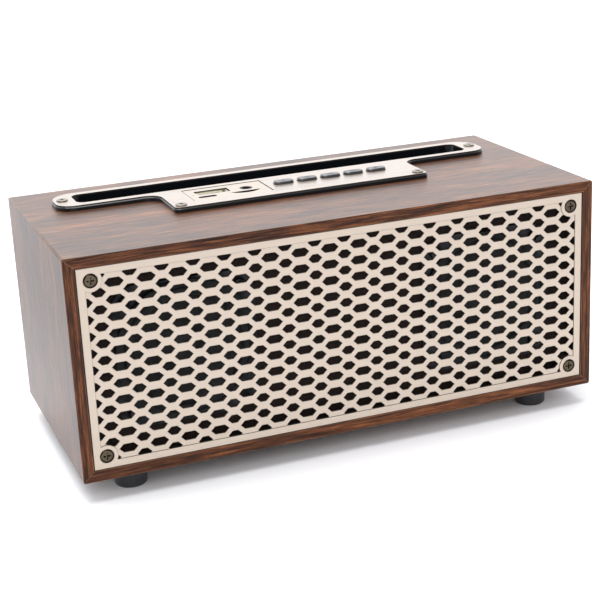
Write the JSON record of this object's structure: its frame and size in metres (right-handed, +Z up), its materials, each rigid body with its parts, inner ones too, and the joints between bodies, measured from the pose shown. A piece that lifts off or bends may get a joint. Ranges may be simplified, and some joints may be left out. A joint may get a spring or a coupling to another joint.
{
  "type": "tabletop wireless speaker",
  "caption": "Retro wood-wrapped tabletop speaker with a pierced champagne grille, a T-shaped top control unit with phone slot, sockets and push buttons, and round feet.",
  "frame": {"origin": "on the table, under the middle of the cabinet", "axes": "+Z up; the grille faces -Y; +X to the right seen from the front"},
  "size_m": [0.22, 0.102, 0.1013],
  "materials": {
    "walnut_wrap": "satin dark wood-grain wrap",
    "raw_wood": "plain sawn",
    "black_board": "matt black painted board",
    "champagne_paint": "satin champagne paint, fine brushed grain",
    "champagne_metal": "brushed and anodised champagne",
    "dark_nickel": "dark nickel plate",
    "black_steel": "black",
    "bright_nickel": "nickel plate",
    "black_rubber": "matt",
    "black_foam": "matt foam",
    "black_plastic": "fine texture",
    "gloss_black_plastic": "gloss",
    "white_plastic": "plain",
    "clear_plastic": "milky light pipe",
    "button_metal": "gunmetal, satin",
    "circuit_board": "green solder mask",
    "cell_wrap": "shrink wrap",
    "lead_red": "insulated cable",
    "spider_cloth": "resin-stiffened cloth",
    "ferrite": "sintered, dark grey",
    "cone_paper": "pressed paper, matt black",
    "copper_wire": "enamelled copper"
  },
  "bodies": {
    "cabinet": {"baffle_board": "black_board", "bass_port": "black_plastic", "battery_cell": "cell_wrap", "battery_cradle": "black_plastic", "battery_lead": "lead_red", "board_components": "black_plastic", "board_screws": "bright_nickel", "button_switches": "black_plastic", "cabinet_bottom": "walnut_wrap", "cabinet_left_side": "walnut_wrap", "cabinet_right_side": "walnut_wrap", "cabinet_top": "walnut_wrap", "card_socket": "black_plastic", "control_board": "circuit_board", "control_housing": "gloss_black_plastic", "control_plate": "champagne_metal", "control_plate_screws": "dark_nickel", "corner_battens": "raw_wood", "driver_baskets": "black_steel", "driver_front_plates": "bright_nickel", "driver_gaskets": "black_foam", "driver_magnets": "ferrite", "driver_screws": "black_steel", "driver_spiders": "spider_cloth", "driver_surrounds": "black_rubber", "driver_terminals": "circuit_board", "driver_yokes": "bright_nickel", "feet": "black_rubber", "foot_screws": "black_steel", "grille": "champagne_paint", "grille_screws": "dark_nickel", "headphone_jack": "black_plastic", "micro_usb_socket": "bright_nickel", "port_insert": "champagne_paint", "rear_panel": "walnut_wrap", "rear_panel_screws": "black_steel", "speaker_leads": "lead_red", "status_light": "clear_plastic", "usb_shell": "bright_nickel", "usb_tongue": "white_plastic"},
    "power_button": {"power_button": "button_metal"},
    "back_button": {"back_button": "button_metal"},
    "play_button": {"play_button": "button_metal"},
    "next_button": {"next_button": "button_metal"},
    "mode_button": {"mode_button": "button_metal"},
    "left_cone_unit": {"left_cone": "cone_paper", "left_dust_cap": "cone_paper", "left_voice_coil": "copper_wire"},
    "right_cone_unit": {"right_cone": "cone_paper", "right_dust_cap": "cone_paper", "right_voice_coil": "copper_wire"}
  },
  "joints": [
    {"name": "power_button_press", "type": "slide", "parent": "cabinet", "child": "power_button", "axis": [0, 0, -1], "range_m": [0, 0.0004]},
    {"name": "back_button_press", "type": "slide", "parent": "cabinet", "child": "back_button", "axis": [0, 0, -1], "range_m": [0, 0.0004]},
    {"name": "play_button_press", "type": "slide", "parent": "cabinet", "child": "play_button", "axis": [0, 0, -1], "range_m": [0, 0.0004]},
    {"name": "next_button_press", "type": "slide", "parent": "cabinet", "child": "next_button", "axis": [0, 0, -1], "range_m": [0, 0.0004]},
    {"name": "mode_button_press", "type": "slide", "parent": "cabinet", "child": "mode_button", "axis": [0, 0, -1], "range_m": [0, 0.0004]},
    {"name": "left_cone_travel", "type": "slide", "parent": "cabinet", "child": "left_cone_unit", "axis": [0, -1, 0], "range_m": [-0.0015, 0.0015]},
    {"name": "right_cone_travel", "type": "slide", "parent": "cabinet", "child": "right_cone_unit", "axis": [0, -1, 0], "range_m": [-0.0015, 0.0015]}
  ]
}
